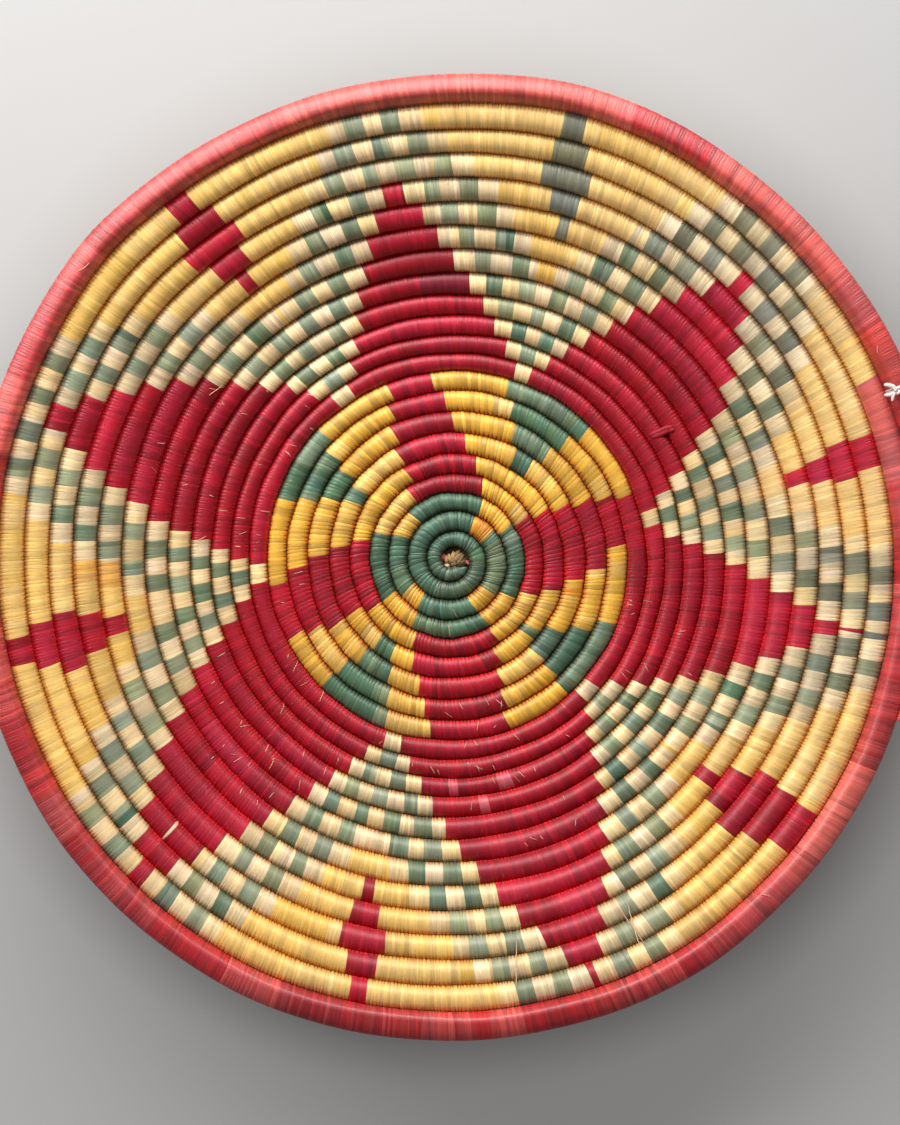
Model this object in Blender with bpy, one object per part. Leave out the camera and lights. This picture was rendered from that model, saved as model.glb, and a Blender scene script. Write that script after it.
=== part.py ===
"""A coiled basket tray, built up in the order that a basket maker works.

One long bundle of plant fibre is wound into a spiral, flat at first and then climbing into a shallow
bowl. Each turn is wrapped with strands that are sewn to the turn inside it. The last turn is the rim, which
tapers off over its own start and is tied down there with white thread.

Metres, +Z up. The basket stands on its flat base at z = 0 and opens upwards, with the origin under the
middle of its bounding box. Angles run clockwise from +Y, seen from above, as the coil does.
"""

import math

import bmesh
import bpy
import numpy as np
from mathutils import Vector

# Turns of the coil, counted outwards from the seam line where the first full turn starts
DECORATED_TURNS = 21
SEAM_DEG = 66.0
START_TAPER_TURNS = 0.35
RIM_TAPER_TURNS = 0.12

# Width of the coil along the wall: (turn, width), straight lines between them
ROW_WIDTHS = ((0, 0.00530), (6, 0.00765), (10, 0.00635), (15, 0.00900), (21, 0.00915))
RIM_WIDTH = 0.0105
RIM_SWELL_TURNS = 0.10
START_EDGE = 0.00745
START_TIP_WIDTH = 0.0030
RIM_TIP_WIDTH = 0.0036

# Thickness of the coil across the wall
BASE_THICKNESS = 0.0060
WALL_THICKNESS = 0.0082
RIM_THICKNESS = 0.0098
TIP_THICKNESS_SHARE = 0.6

# Shape of the bowl, along the middle of the wall
BASE_RADIUS = 0.052
BEND_RADIUS = 0.140
WALL_SLOPE_DEG = 26.0

# Wrapping and the clearances between pieces
WRAP = 0.0008
BUNDLE_PLAY = 0.00035
ROW_GAP = 0.00045
SEAM_GAP = 0.0003
BLIND_END_TURNS = 0.015

# Points along each turn; the small turns at the centre take half as many
WALL_POINTS = 24
CENTRE_POINTS = 12
CENTRE_TURNS = 5
NEAREST_STATIONS = 0.1

# The knot of fibre tips where the coil starts
KNOT_GAP = 0.0004
KNOT_HEIGHT = 0.0046
KNOT_SIDES = 12

# The white thread that ties the rim's end down
TIE_DEG = 3.5
TIE_WIDTH = 0.0024
TIE_THICKNESS = 0.0008
TIE_GAP = 0.0003
TIE_TUCK = 0.0017
TIE_KNOT_RADIUS = 0.0017
TAIL_RADIUS = 0.0005
TAIL_LENGTHS = (0.0060, 0.0055, 0.0050)
TAIL_HEADINGS_DEG = (292.0, 250.0, 205.0)
TAIL_RISE = 0.05

GRID_PER_TURN = 400
RIM_START = float(DECORATED_TURNS)
RIM_END = RIM_START + 1.0
TIE_TURN = RIM_END + TIE_DEG / 360.0
BUNDLE_END = RIM_END + RIM_TAPER_TURNS - BLIND_END_TURNS
SIN_60 = math.sin(math.radians(60.0))

# Colours of the fibres, linear, with roughness
STRAW = ((0.70, 0.43, 0.13), 0.55)
CRIMSON = ((0.36, 0.015, 0.035), 0.5)
GREEN = ((0.04, 0.14, 0.10), 0.55)
RIM_RED = ((0.45, 0.035, 0.04), 0.5)
BROWN_FIBRE = ((0.22, 0.12, 0.05), 0.8)
WHITE_THREAD = ((0.75, 0.72, 0.66), 0.8)

# The colour that fills most of each turn, from the centre outwards
GREEN_TURNS = range(1, 5)
CRIMSON_TURNS = range(9, 15)


def clear_scene():
    for obj in list(bpy.data.objects):
        bpy.data.objects.remove(obj, do_unlink=True)


def material(name, finish):
    """A Principled material of one colour and roughness."""
    colour, roughness = finish
    found = bpy.data.materials.get(name) or bpy.data.materials.new(name)
    found.use_nodes = True
    shader = found.node_tree.nodes["Principled BSDF"]
    shader.inputs["Base Color"].default_value = (*colour, 1.0)
    shader.inputs["Roughness"].default_value = roughness
    shader.inputs["Metallic"].default_value = 0.0
    return found


def smooth(x):
    """An even rise from 0 to 1 while x goes from 0 to 1."""
    x = min(max(x, 0.0), 1.0)
    return x * x * (3.0 - 2.0 * x)


def edge_table():
    """The outer edge of each decorated turn, added up from the widths along the coil."""
    turns = np.linspace(0.0, RIM_START, DECORATED_TURNS * GRID_PER_TURN + 1)
    widths = np.interp(turns, *zip(*ROW_WIDTHS))
    steps = np.diff(turns) * (widths[1:] + widths[:-1]) / 2.0
    return turns, START_EDGE + np.concatenate([[0.0], np.cumsum(steps)])


EDGE_TURNS, EDGE_REACH = edge_table()


def outer_edge(turn):
    """How far the coil's outer edge lies from the centre, along the wall."""
    if turn <= 0.0:
        return START_EDGE + ROW_WIDTHS[0][1] * turn
    if turn <= RIM_START:
        return float(np.interp(turn, EDGE_TURNS, EDGE_REACH))
    own = outer_edge(RIM_START) - outer_edge(RIM_START - 1.0)
    swell = smooth((turn - RIM_START) / RIM_SWELL_TURNS)
    return outer_edge(turn - 1.0) + own + (RIM_WIDTH - own) * swell


def wall_point(reach):
    """(radius, height, slope) of the middle of the wall at this distance along it."""
    slope_end = math.radians(WALL_SLOPE_DEG)
    slope = min(max((reach - BASE_RADIUS) / BEND_RADIUS, 0.0), slope_end)
    radius = min(reach, BASE_RADIUS) + BEND_RADIUS * math.sin(slope)
    height = BASE_THICKNESS / 2.0 + BEND_RADIUS * (1.0 - math.cos(slope))
    straight = max(reach - BASE_RADIUS - BEND_RADIUS * slope_end, 0.0)
    return radius + straight * math.cos(slope), height + straight * math.sin(slope), slope


def thickness_at(turn, reach):
    """The coil thickens through the bend of the bowl, and again at the rim."""
    bend_length = BEND_RADIUS * math.radians(WALL_SLOPE_DEG)
    wall = smooth((reach - BASE_RADIUS) / bend_length)
    thick = BASE_THICKNESS + (WALL_THICKNESS - BASE_THICKNESS) * wall
    swell = smooth((turn - RIM_START) / RIM_SWELL_TURNS)
    return thick + (RIM_THICKNESS - thick) * swell


def coil_section(turn):
    """(distance along the wall, width, thickness) of the coil, which thins towards its two tips.

    The first tip follows the edge of the turn outside it, and the last tip lies on the turn inside it.
    """
    inner = outer_edge(turn - 1.0)
    outer = outer_edge(turn)
    width = outer - inner - ROW_GAP
    if turn < 0.0:
        share = smooth(1.0 + turn / START_TAPER_TURNS)
        width = START_TIP_WIDTH + (width - START_TIP_WIDTH) * share
        reach = outer - (ROW_GAP + width) / 2.0
    elif turn > RIM_END:
        share = smooth(1.0 - (turn - RIM_END) / RIM_TAPER_TURNS)
        width = RIM_TIP_WIDTH + (width - RIM_TIP_WIDTH) * share
        reach = inner + (ROW_GAP + width) / 2.0
    else:
        share = 1.0
        reach = (inner + outer) / 2.0
    thin = TIP_THICKNESS_SHARE + (1.0 - TIP_THICKNESS_SHARE) * share
    return reach, width, thickness_at(turn, reach) * thin


def turn_angle(turn):
    return math.radians(SEAM_DEG + 360.0 * turn)


def place(turn, reach, across, up):
    """A point of the basket: across lies along the wall from reach, up lies square to the wall."""
    radius, height, slope = wall_point(reach)
    radius += across * math.cos(slope) - up * math.sin(slope)
    height += across * math.sin(slope) + up * math.cos(slope)
    angle = turn_angle(turn)
    return Vector((radius * math.sin(angle), radius * math.cos(angle), height))


def six_sides(width, thickness, inset):
    """(across, up) corners of a six-sided section with flat top and bottom, drawn in by inset."""
    half = width / 2.0 - inset / SIN_60
    tall = thickness / 2.0 - inset
    return ((half, 0), (half / 2, tall), (-half / 2, tall), (-half, 0), (-half / 2, -tall), (half / 2, -tall))


def ring(turn, inset):
    """The six corners of the coil's section, drawn in by inset. The thin first tip rests on the floor too."""
    reach, width, thickness = coil_section(turn)
    drop = (BASE_THICKNESS - thickness) / 2.0 if turn < 0.0 else 0.0
    corners = six_sides(width, thickness, inset)
    return [place(turn, reach, across, up - drop) for across, up in corners]


def stations(start, end):
    """Turns at which the coil has points: start, end and each even division between them."""
    marks = np.arange(math.floor(start), CENTRE_TURNS, 1.0 / CENTRE_POINTS)
    marks = np.append(marks, np.arange(CENTRE_TURNS, math.ceil(end), 1.0 / WALL_POINTS))
    spare = NEAREST_STATIONS / WALL_POINTS
    inside = sorted(float(mark) for mark in [*marks, TIE_TURN] if start + spare < mark < end - spare)
    return [start, *inside, end]


def add_side(mesh, rings):
    """Faces between rings of vertices that follow each other."""
    for near, far in zip(rings, rings[1:]):
        for i in range(len(near)):
            j = (i + 1) % len(near)
            mesh.faces.new((near[i], near[j], far[j], far[i]))


def add_rings(mesh, turns, inset):
    return [[mesh.verts.new(point) for point in ring(turn, inset)] for turn in turns]


def finish_object(name, mesh, paint):
    """Turns the faces outwards and makes the mesh an object of this material."""
    bmesh.ops.recalc_face_normals(mesh, faces=mesh.faces)
    data = bpy.data.meshes.new(name)
    mesh.to_mesh(data)
    mesh.free()
    data.materials.append(paint)
    obj = bpy.data.objects.new(name, data)
    bpy.context.scene.collection.objects.link(obj)
    return obj


def solid_tube(name, turns, inset, paint):
    """A closed six-sided tube along the coil."""
    mesh = bmesh.new()
    rings = add_rings(mesh, turns, inset)
    add_side(mesh, rings)
    mesh.faces.new(rings[0])
    mesh.faces.new(rings[-1])
    return finish_object(name, mesh, paint)


def sleeve(name, turns, bore_turns, bore_inset, paint):
    """A wrapping round the coil: open at both ends, or closed over the tip where the bore stops short."""
    mesh = bmesh.new()
    outside = add_rings(mesh, turns, 0.0)
    bore = add_rings(mesh, bore_turns, bore_inset)
    add_side(mesh, outside)
    add_side(mesh, bore)
    add_side(mesh, [outside[0], bore[0]])
    if bore_turns[-1] == turns[-1]:
        add_side(mesh, [outside[-1], bore[-1]])
    else:
        mesh.faces.new(outside[-1])
        mesh.faces.new(bore[-1])
    return finish_object(name, mesh, paint)


def seam_trim(turn):
    """Half the gap at a seam, in turns of the coil."""
    radius = wall_point(coil_section(turn)[0])[0]
    return SEAM_GAP / 2.0 / (2.0 * math.pi * radius)


def row_paint(row):
    if row in GREEN_TURNS:
        return material("green_strands", GREEN)
    if row in CRIMSON_TURNS:
        return material("crimson_strands", CRIMSON)
    return material("straw_strands", STRAW)


def make_foundation():
    """The spiral bundle inside all the wrapping, as one unbroken tube."""
    turns = stations(-START_TAPER_TURNS, BUNDLE_END)
    paint = material("foundation_fibre", BROWN_FIBRE)
    return solid_tube("foundation_bundle", turns, WRAP + BUNDLE_PLAY, paint)


def make_rows():
    """One wrapping for each decorated turn, from the centre outwards."""
    for row in range(1, DECORATED_TURNS + 1):
        start = -START_TAPER_TURNS if row == 1 else row - 1 + seam_trim(row - 1.0)
        turns = stations(start, row - seam_trim(float(row)))
        sleeve(f"row_{row:02d}_wrapping", turns, turns, WRAP, row_paint(row))


def make_rim():
    """The red wrapping of the last turn, closed over the bundle's tip."""
    start = RIM_START + seam_trim(RIM_START)
    turns = stations(start, RIM_END + RIM_TAPER_TURNS)
    bore_turns = stations(start, BUNDLE_END + seam_trim(RIM_END) * 2.0)
    return sleeve("rim_wrapping", turns, bore_turns, WRAP, material("rim_strands", RIM_RED))


def make_centre_knot():
    """A low round knot that fills the hole inside the first turn, clear of it all round."""
    turns = stations(-START_TAPER_TURNS, 1.0 - START_TAPER_TURNS)
    fine = np.linspace(turns[0], turns[-1], 10 * len(turns))
    hole = [ring(turn, 0.0)[3].xy for turn in fine]
    middle = sum(hole, Vector((0.0, 0.0))) / len(hole)
    reach = min((point - middle).length for point in hole)
    radius = reach * math.cos(math.pi / CENTRE_POINTS) - KNOT_GAP
    mesh = bmesh.new()
    bmesh.ops.create_uvsphere(mesh, u_segments=KNOT_SIDES, v_segments=KNOT_SIDES // 2, radius=1.0)
    bmesh.ops.scale(mesh, vec=(radius, radius, KNOT_HEIGHT / 2.0), verts=mesh.verts)
    bmesh.ops.translate(mesh, vec=(*middle, BASE_THICKNESS / 2.0), verts=mesh.verts)
    return finish_object("centre_start_knot", mesh, material("start_fibre", BROWN_FIBRE))


def beside_slant(width, thickness, off, up):
    """How far across a line lies at this height, when it runs off outside the section's slanted side."""
    slant = math.hypot(width / 4.0, thickness / 2.0)
    return width / 2.0 + off * slant / (thickness / 2.0) - up * width / 2.0 / thickness


def tie_route():
    """(across, up) points of the thread, out of the groove above the rim, round it and in below."""
    _, width, thickness = coil_section(TIE_TURN)
    off = TIE_GAP + TIE_THICKNESS / 2.0
    top = thickness / 2.0 + off
    side, shoulder, tuck = (beside_slant(width, thickness, off, up) for up in (0.0, top, TIE_TUCK))
    upper = [(-tuck, TIE_TUCK), (-shoulder, top), (shoulder, top)]
    return upper + [(side, 0.0)] + [(across, -up) for across, up in reversed(upper)]


def tie_band(reach):
    """The lashing round the rim, as a flat strip swept along its route."""
    route = [Vector(point) for point in tie_route()]
    swing = TIE_WIDTH / 2.0 / (2.0 * math.pi * wall_point(reach)[0])
    mesh = bmesh.new()
    rings = []
    for i, point in enumerate(route):
        along = (route[min(i + 1, len(route) - 1)] - route[max(i - 1, 0)]).normalized()
        out = Vector((-along.y, along.x)) * TIE_THICKNESS / 2.0
        corners = ((-swing, out), (swing, out), (swing, -out), (-swing, -out))
        rings.append([mesh.verts.new(place(TIE_TURN + way, reach, *(point + side))) for way, side in corners])
    add_side(mesh, rings)
    mesh.faces.new(rings[0])
    mesh.faces.new(rings[-1])
    return finish_object("rim_tie", mesh, material("white_thread", WHITE_THREAD))


def joined(base, mesh_of_tool):
    """Adds a tool mesh to base with a Boolean union, and keeps the tool out of the render."""
    tool = finish_object(base.name + "_join", mesh_of_tool, base.data.materials[0])
    tool.hide_render = True
    tool.display_type = "WIRE"
    union = base.modifiers.new("join", "BOOLEAN")
    union.operation = "UNION"
    union.object = tool


def make_tie():
    """Thread lashed round the rim's end, with a knot on top and its short tails."""
    reach, _, thickness = coil_section(TIE_TURN)
    band = tie_band(reach)
    top = thickness / 2.0 + TIE_GAP + TIE_KNOT_RADIUS
    knot_at = place(TIE_TURN, reach, 0.0, top)
    knot = bmesh.new()
    bmesh.ops.create_icosphere(knot, subdivisions=1, radius=TIE_KNOT_RADIUS)
    bmesh.ops.translate(knot, vec=knot_at, verts=knot.verts)
    joined(band, knot)
    for length, heading in zip(TAIL_LENGTHS, TAIL_HEADINGS_DEG):
        aim = Vector((math.sin(math.radians(heading)), math.cos(math.radians(heading)), TAIL_RISE))
        tail = bmesh.new()
        bmesh.ops.create_cone(
            tail,
            cap_ends=True,
            segments=5,
            radius1=TAIL_RADIUS,
            radius2=TAIL_RADIUS,
            depth=length,
        )
        bmesh.ops.translate(tail, vec=(0.0, 0.0, length / 2.0), verts=tail.verts)
        bmesh.ops.rotate(tail, matrix=aim.to_track_quat("Z", "Y").to_matrix(), verts=tail.verts)
        bmesh.ops.translate(tail, vec=knot_at, verts=tail.verts)
        joined(band, tail)
    return band


def centre_on_origin():
    """Moves every piece so that the rim's bounding box is centred over the origin."""
    turns = stations(RIM_START, RIM_END + RIM_TAPER_TURNS)
    points = np.array([point for turn in turns for point in ring(turn, 0.0)])
    middle = (points.max(axis=0) + points.min(axis=0)) / 2.0
    for obj in bpy.data.objects:
        obj.location.x -= middle[0]
        obj.location.y -= middle[1]


def least_self_gap(inset):
    """The smallest space between one turn of a tube along the coil and the next, on its points."""
    turns = stations(-START_TAPER_TURNS, BUNDLE_END)
    gaps = []
    for turn in turns:
        if turn + 1.0 <= turns[-1]:
            near = ring(turn, inset)
            far = ring(turn + 1.0, inset)
            gaps.append(min((a - b).length for a in near for b in far))
    return min(gaps)


def main():
    clear_scene()
    make_foundation()
    make_rows()
    make_rim()
    make_centre_knot()
    make_tie()
    centre_on_origin()
    print(f"bundle: least gap to itself {1000 * least_self_gap(WRAP + BUNDLE_PLAY):.2f} mm")
    print(f"wrapped coil: least gap to itself {1000 * least_self_gap(0.0):.2f} mm")


main()
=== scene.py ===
# %% [markdown]
# # A coiled basket tray
# One long bundle of plant fibre is wound outwards in a spiral and sewn to itself with dyed strands. Each
# goes once round the bundle and is drawn tight in the turn inside it, so the surface is nothing but
# strands, thousands of them side by side. The lesson builds it the same way: it works out the coil's
# path, lays strands along it, gives each its dye, and adds what isn't wrapping.
#
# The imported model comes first. It holds the sizes, and the pieces made here stand in for its nodes.

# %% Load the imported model
import math

import bpy
import numpy as np
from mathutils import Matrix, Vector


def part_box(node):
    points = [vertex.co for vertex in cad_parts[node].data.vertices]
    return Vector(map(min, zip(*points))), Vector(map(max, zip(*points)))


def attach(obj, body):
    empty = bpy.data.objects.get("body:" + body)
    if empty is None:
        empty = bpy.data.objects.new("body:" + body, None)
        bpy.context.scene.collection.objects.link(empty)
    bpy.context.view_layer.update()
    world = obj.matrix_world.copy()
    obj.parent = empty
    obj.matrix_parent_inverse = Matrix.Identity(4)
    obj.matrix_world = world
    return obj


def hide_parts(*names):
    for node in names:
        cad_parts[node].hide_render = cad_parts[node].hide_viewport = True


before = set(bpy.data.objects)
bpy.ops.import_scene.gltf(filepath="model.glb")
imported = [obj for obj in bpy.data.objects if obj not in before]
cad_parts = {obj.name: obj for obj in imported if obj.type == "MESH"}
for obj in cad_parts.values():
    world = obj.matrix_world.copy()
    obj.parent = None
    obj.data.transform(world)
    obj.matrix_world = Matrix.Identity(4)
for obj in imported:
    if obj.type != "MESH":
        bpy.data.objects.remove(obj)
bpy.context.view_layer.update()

# %% [markdown]
# ## Sizes of the coil
# How wide and thick the coil is, how big the flat base is and how steeply the wall climbs: all places
# below follow from these. Turns are counted from the seam, where the first full turn starts and the last
# row turns red and becomes the rim. Angles run clockwise from +Y, seen from above, as the coil does.

# %% Sizes of the coil, in metres
DECORATED_TURNS = 21
SEAM_DEG = 66.0
START_TAPER_TURNS = 0.12
RIM_TAPER_TURNS = 0.12
RIM_START = float(DECORATED_TURNS)
RIM_END = RIM_START + 1.0
COIL_START = 0.14
COIL_END = RIM_END + RIM_TAPER_TURNS

WIDTH_MARKS = (0, 6, 10, 15, 21)
WIDTHS = (0.00530, 0.00765, 0.00635, 0.00900, 0.00915)
RIM_WIDTH = 0.0105
RIM_SWELL_TURNS = 0.10
START_EDGE = 0.00745
START_TIP_WIDTH = 0.0030
RIM_TIP_WIDTH = 0.0036

BASE_THICKNESS = 0.0060
WALL_THICKNESS = 0.0082
RIM_THICKNESS = 0.0098
TIP_THICKNESS_SHARE = 0.6

BASE_RADIUS = 0.052
BEND_RADIUS = 0.140
WALL_SLOPE = math.radians(26.0)

# %% [markdown]
# ## The path of the coil
# The turns could be a curve with a bevel, but then every strand would have to be placed on it afterwards.
# Here a formula gives any point of the coil's surface from its turn and its place in the section. So a
# strand is a line on that surface, and whole rows are worked out as arrays.

# %% The path as functions of the turn
EDGE_POINTS_PER_TURN = 400


def smooth(x):
    """An even rise from 0 to 1: three x squared less two x cubed, held flat outside 0 to 1."""
    x = np.clip(x, 0.0, 1.0)
    return x * x * (3.0 - 2.0 * x)


edge_turns = np.linspace(0.0, RIM_START, DECORATED_TURNS * EDGE_POINTS_PER_TURN + 1)
edge_widths = np.interp(edge_turns, WIDTH_MARKS, WIDTHS)
edge_steps = np.diff(edge_turns) * (edge_widths[1:] + edge_widths[:-1]) / 2.0
edge_reach = START_EDGE + np.concatenate([[0.0], np.cumsum(edge_steps)])


def rim_swell(turn):
    """How much of a row has become rim: 0 up to the rim's start, 1 from a tenth of a turn past it."""
    return smooth((turn - RIM_START) / RIM_SWELL_TURNS)


def outer_edge(turn):
    """Distance along the wall to the coil's outer edge: the widths so far added up. The rim lies on the
    turn inside it and swells from the row's width to its own."""
    turn = np.asarray(turn, float)
    edge = np.interp(turn, edge_turns, edge_reach) + WIDTHS[0] * np.minimum(turn, 0.0)
    if np.any(turn > RIM_START):
        own = edge_reach[-1] - np.interp(RIM_START - 1.0, edge_turns, edge_reach)
        rim = outer_edge(turn - 1.0) + own + (RIM_WIDTH - own) * rim_swell(turn)
        edge = np.where(turn > RIM_START, rim, edge)
    return edge


def wall_point(reach):
    """Radius, height and slope of the wall: a flat base, a bend of one radius, then a straight climb."""
    slope = np.clip((reach - BASE_RADIUS) / BEND_RADIUS, 0.0, WALL_SLOPE)
    straight = np.maximum(reach - BASE_RADIUS - BEND_RADIUS * WALL_SLOPE, 0.0)
    radius = np.minimum(reach, BASE_RADIUS) + BEND_RADIUS * np.sin(slope) + straight * np.cos(slope)
    height = BASE_THICKNESS / 2.0 + BEND_RADIUS * (1.0 - np.cos(slope)) + straight * np.sin(slope)
    return radius, height, slope


def section(turn):
    """Middle, half width, half thickness and drop of the coil. It fills the space between its neighbours,
    thins towards both tips, and its thin first tip lies on the floor."""
    inner, outer = outer_edge(turn - 1.0), outer_edge(turn)
    early = turn < COIL_START + START_TAPER_TURNS
    start = smooth((turn - COIL_START) / START_TAPER_TURNS)
    end = smooth(1.0 - (turn - RIM_END) / RIM_TAPER_TURNS)
    share = np.where(early, start, np.where(turn > RIM_END, end, 1.0))
    tip = np.where(early, START_TIP_WIDTH, RIM_TIP_WIDTH)
    width = tip + (outer - inner - tip) * share
    middle = np.where(early, outer - width / 2.0, inner + width / 2.0)
    climb = smooth((middle - BASE_RADIUS) / (BEND_RADIUS * WALL_SLOPE))
    thick = BASE_THICKNESS + (WALL_THICKNESS - BASE_THICKNESS) * climb
    thick = thick + (RIM_THICKNESS - thick) * rim_swell(turn)
    thick = thick * (TIP_THICKNESS_SHARE + (1 - TIP_THICKNESS_SHARE) * share)
    drop = np.where(early, (BASE_THICKNESS - thick) / 2.0, 0.0)
    return middle, width / 2.0, thick / 2.0, drop


def place(turn, across, up):
    """Points of the basket: across runs along the wall from the coil's middle, up stands square to it."""
    middle, _, _, drop = section(turn)
    radius, height, slope = wall_point(middle)
    radius = radius + across * np.cos(slope) - (up - drop) * np.sin(slope)
    height = height + across * np.sin(slope) + (up - drop) * np.cos(slope)
    angle = np.radians(SEAM_DEG + 360.0 * turn)
    flat = np.stack([radius * np.sin(angle), radius * np.cos(angle)], axis=-1) - spiral_shift
    return np.concatenate([flat, height[..., None]], axis=-1)


# %% [markdown]
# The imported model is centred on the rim's box, and the spiral's own centre lies a little to one side. The
# shift is worked out from the points of the rim that the model has, six round each section, and how far
# the two then differ is printed.

# %% Where the spiral's centre lies
CAD_POINTS_PER_TURN = 24
CAD_ROW_GAP = 0.00045
CAD_CORNERS = np.array([(1.0, 0.0), (0.5, 1.0), (-0.5, 1.0), (-1.0, 0.0), (-0.5, -1.0), (0.5, -1.0)])

spiral_shift = np.zeros(2)
marks = np.append(np.arange(RIM_START, COIL_END, 1.0 / CAD_POINTS_PER_TURN), COIL_END)[:, None]
_, half_width, half_thick, _ = section(marks)
half_width = half_width - CAD_ROW_GAP / 2.0
rim_points = place(marks, half_width * CAD_CORNERS[:, 0], half_thick * CAD_CORNERS[:, 1]).reshape(-1, 3)
spiral_shift = (rim_points.max(axis=0) + rim_points.min(axis=0))[:2] / 2.0
rim_high = np.array(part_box("rim_wrapping")[1])
miss = np.abs(rim_points.max(axis=0)[:2] - spiral_shift - rim_high[:2]).max()
print(f"spiral centre at {-1000 * spiral_shift} mm, formula and model differ by {1000 * miss:.3f} mm")

# %% [markdown]
# ## The hand in it
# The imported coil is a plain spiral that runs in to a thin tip. A hand-laid one strays by a few tenths of
# a millimetre, and where one row strays the next one follows. This one also swells outwards in four
# places, and its first two turns are pulled in round a short blunt start. All of it goes into the one
# curve that the rows share, so they still touch.

# %% Strays from the plain spiral
START_PULL = 0.0018
START_PULL_TURNS = (0.4, 2.4)
STRAY = 0.00016
SWELLS = ((20.0, 14.0, 0.0018), (152.0, 15.0, 0.0014), (200.0, 15.0, 0.0008), (311.0, 10.0, 0.0014))


def pull(turn):
    """How far the first turns are drawn in: all the way at the start, then smoothly less."""
    first, last = START_PULL_TURNS
    return START_PULL * (1.0 - smooth((turn - first) / (last - first)))


def stray(turn):
    """How far the coil's edge wanders: three waves out of step with each other and with the turns."""
    way = 2.0 * np.pi * turn
    waves = np.sin(7.3 * way) + 0.7 * np.sin(12.9 * way + 1.7) + 0.5 * np.sin(23.6 * way + 0.4)
    return STRAY * waves * smooth(turn / 3.0)


def swell_out(turn):
    """How far the outer rows swell: a bell curve at each place, times the reach's share to the fourth
    power."""
    theta = SEAM_DEG + 360.0 * turn
    bells = [size * np.exp(-((aside(theta, at) / wide) ** 2)) for at, wide, size in SWELLS]
    return np.sum(bells, axis=0) * (edge_reach / edge_reach[-1]) ** 4


def aside(theta, centre):
    """Degrees from a direction, from -180 to 180."""
    return (theta - centre + 180.0) % 360.0 - 180.0


edge_reach = edge_reach + stray(edge_turns) + swell_out(edge_turns) - pull(edge_turns)
print(f"the edge strays by up to {1000 * np.abs(stray(edge_turns)).max():.2f} mm")

# %% [markdown]
# ## Camera
# The photograph looks straight at the open side with a long lens. So the camera hangs high above the
# tray, a little towards +Y, which moves the raised rim down in the picture as it is there.

# %% Camera
PHOTO_WIDTH, PHOTO_HEIGHT = 900, 1125
CENTRE_PIXEL = (452.0, 560.6)
METRES_PER_PIXEL = 0.0003505
CAMERA_DISTANCE = 1.8
CAMERA_LEAN = math.radians(2.5)
CENTRE_HEIGHT = 0.003


def add_object(name, data):
    """A new object in the scene, at the origin."""
    made = bpy.data.objects.new(name, data)
    bpy.context.scene.collection.objects.link(made)
    return made


camera_data = bpy.data.cameras.new("camera")
camera_data.lens = camera_data.sensor_width * CAMERA_DISTANCE / (PHOTO_HEIGHT * METRES_PER_PIXEL)
camera_data.clip_end = 20.0
camera = add_object("camera", camera_data)
bpy.context.scene.camera = camera
side = (CENTRE_PIXEL[0] - PHOTO_WIDTH / 2.0) * METRES_PER_PIXEL
rise = (PHOTO_HEIGHT / 2.0 - CENTRE_PIXEL[1]) * METRES_PER_PIXEL
aim = np.array([-spiral_shift[0] - side, -spiral_shift[1] - rise, CENTRE_HEIGHT])
camera.location = aim + CAMERA_DISTANCE * np.array([0.0, math.sin(CAMERA_LEAN), math.cos(CAMERA_LEAN)])
camera.rotation_euler = (-CAMERA_LEAN, 0.0, 0.0)
print(f"lens {camera_data.lens:.0f} mm at {CAMERA_DISTANCE} m")

# %% [markdown]
# ## Finishes from nodes
# Every finish here is a tree of nodes that works on the surface itself, with no picture. Written out, one
# node takes four lines, so each kind in use gets a short call. What goes in is a number, a colour or what
# comes out of another node.


# %% A finish and its nodes
class Finish:
    """A material under way. Each call but set adds a node and returns what comes out of it."""

    def __init__(self, name):
        self.paint = bpy.data.materials.new(name)
        self.paint.use_nodes = True
        self.tree = self.paint.node_tree
        self.shader = self.tree.nodes["Principled BSDF"]

    def set(self, node, inputs):
        """Gives a node's inputs, known by name or number, a value or a link."""
        for key, value in inputs.items():
            if isinstance(value, bpy.types.NodeSocket):
                self.tree.links.new(value, node.inputs[key])
            else:
                node.inputs[key].default_value = value

    def node(self, kind, inputs=(), output=0, **settings):
        made = self.tree.nodes.new("ShaderNode" + kind)
        for key, setting in settings.items():
            setattr(made, key, setting)
        self.set(made, dict(inputs))
        return made.outputs[output]

    def maths(self, operation, *values):
        return self.node("Math", enumerate(values), operation=operation)

    def ranged(self, value, low, high, to_low=0.0, to_high=1.0):
        """A value carried evenly from one range to another and held at its ends."""
        return self.node("MapRange", enumerate([value, low, high, to_low, to_high]))

    def mixed(self, blend, factor, first, second):
        """A mix of two colours, which are the seventh and eighth input of the node."""
        return self.node("Mix", {0: factor, 6: first, 7: second}, 2, data_type="RGBA", blend_type=blend)

    def grey(self, tone):
        return self.node("CombineXYZ", {0: tone, 1: tone, 2: tone})

    def noise(self, vector, scale, detail):
        inputs = {"Vector": vector, "Scale": scale, "Detail": detail, "Roughness": 0.6}
        return self.node("TexNoise", inputs)

    def object_noise(self, scale, detail):
        return self.noise(self.node("TexCoord", output="Object"), scale, detail)

    def streaks(self, vector, scale, detail):
        """Noise on a vector that is scaled unequally, so that it draws out into streaks."""
        return self.noise(self.node("Mapping", {"Vector": vector, "Scale": scale}), 1.0, detail)

    def relief(self, height, strength, distance):
        return self.node("Bump", {"Height": height, "Strength": strength, "Distance": distance})


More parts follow.
